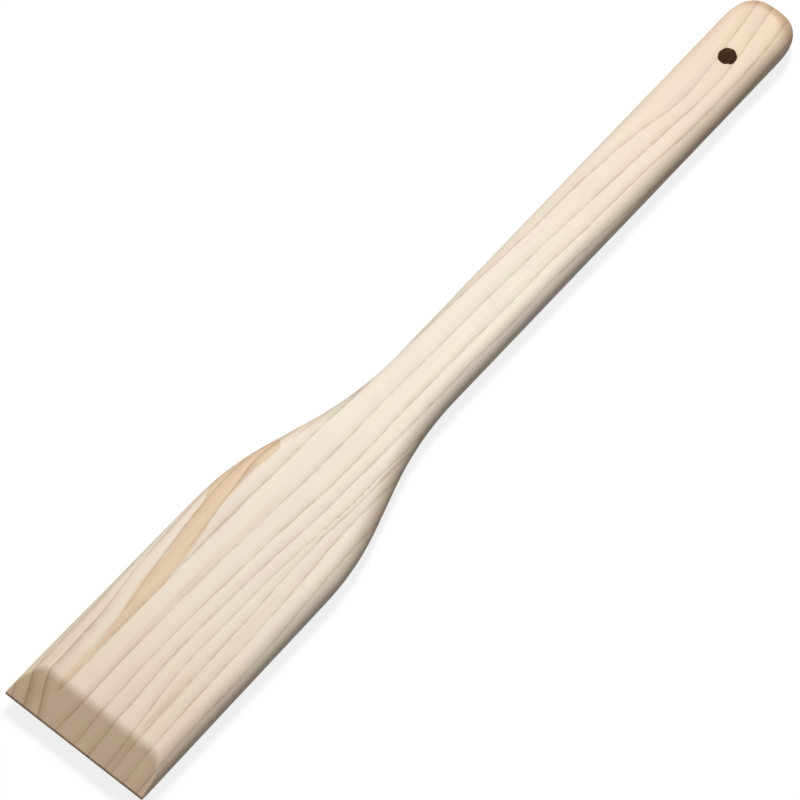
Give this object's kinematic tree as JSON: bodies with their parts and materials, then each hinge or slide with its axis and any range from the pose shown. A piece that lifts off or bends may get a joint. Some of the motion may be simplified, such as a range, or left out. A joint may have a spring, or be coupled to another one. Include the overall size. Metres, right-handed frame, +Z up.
{
  "type": "stirring paddle",
  "caption": "Flat wooden stirring paddle: a long handle with a hanging hole widens through rounded shoulders to a blade with a double-bevelled scraping edge.",
  "frame": {"origin": "centre of the flat back, in the plane that the paddle lies on", "axes": "+X from the scraping edge to the handle end, +Y across the blade, +Z up out of the face"},
  "size_m": [0.457, 0.075, 0.014],
  "materials": {
    "pine": "sanded bare pine, satin"
  },
  "bodies": {
    "root": {"paddle": "pine"}
  },
  "joints": []
}
